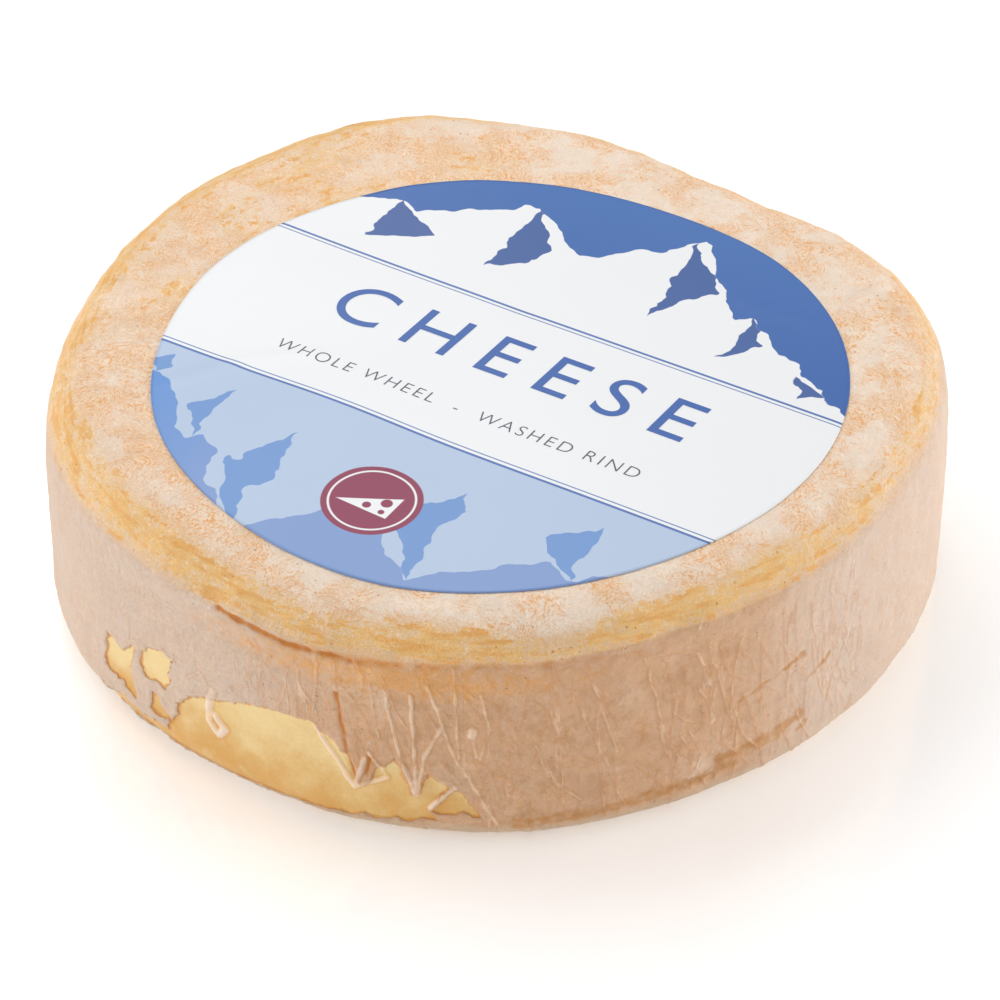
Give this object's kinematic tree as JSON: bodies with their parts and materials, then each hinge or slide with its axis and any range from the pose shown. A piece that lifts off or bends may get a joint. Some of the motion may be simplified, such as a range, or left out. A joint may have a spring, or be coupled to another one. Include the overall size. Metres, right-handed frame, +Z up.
{
  "type": "cheese wheel",
  "caption": "Whole washed-rind cheese wheel, a low uneven disc with rounded edges and an overhanging upper rim, with a round paper label on its upper face.",
  "frame": {"origin": "middle of the footprint's box, on the plane that the wheel rests on", "axes": "+Z up along the wheel's axis, -Y towards the side that the label is read from, +X to the right of it"},
  "size_m": [0.257, 0.2566, 0.0791],
  "materials": {
    "rind": "washed cheese rind, dry and slightly waxy, pale peach with golden edges",
    "label_paper": "printed coated paper with a satin surface"
  },
  "bodies": {
    "root": {"cheese_wheel": "rind", "label": "label_paper"}
  },
  "joints": []
}
